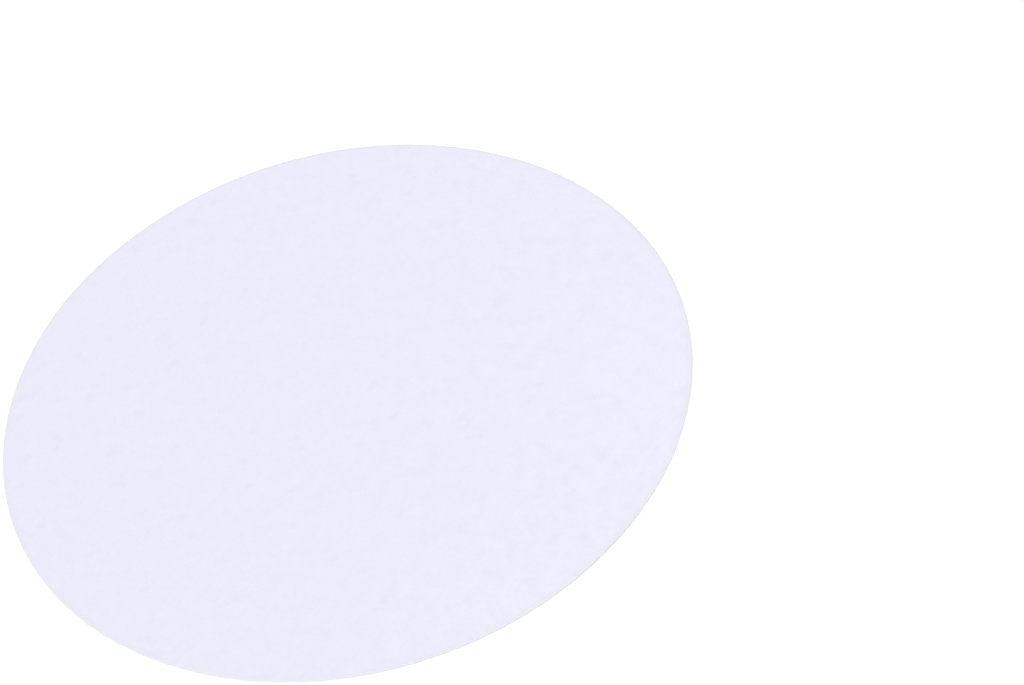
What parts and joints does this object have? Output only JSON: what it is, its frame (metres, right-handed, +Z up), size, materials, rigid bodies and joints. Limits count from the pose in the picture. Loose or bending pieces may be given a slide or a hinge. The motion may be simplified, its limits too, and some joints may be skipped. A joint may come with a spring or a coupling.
{
  "type": "filter paper disc",
  "caption": "Thin round disc of plain white filter paper, die-cut from one porous sheet, that lies flat in a funnel or filter holder and strains solids out of a liquid.",
  "frame": {"origin": "centre of the flat underside, where the disc rests", "axes": "+Z up out of the upper face, along the axis of the cut circle; X and Y lie in the sheet, and any direction in it is the same"},
  "size_m": [0.125, 0.125, 0.0002],
  "materials": {
    "filter_paper": "matte, soft and fibrous, cool white"
  },
  "bodies": {
    "root": {"filter_paper_disc": "filter_paper"}
  },
  "joints": []
}
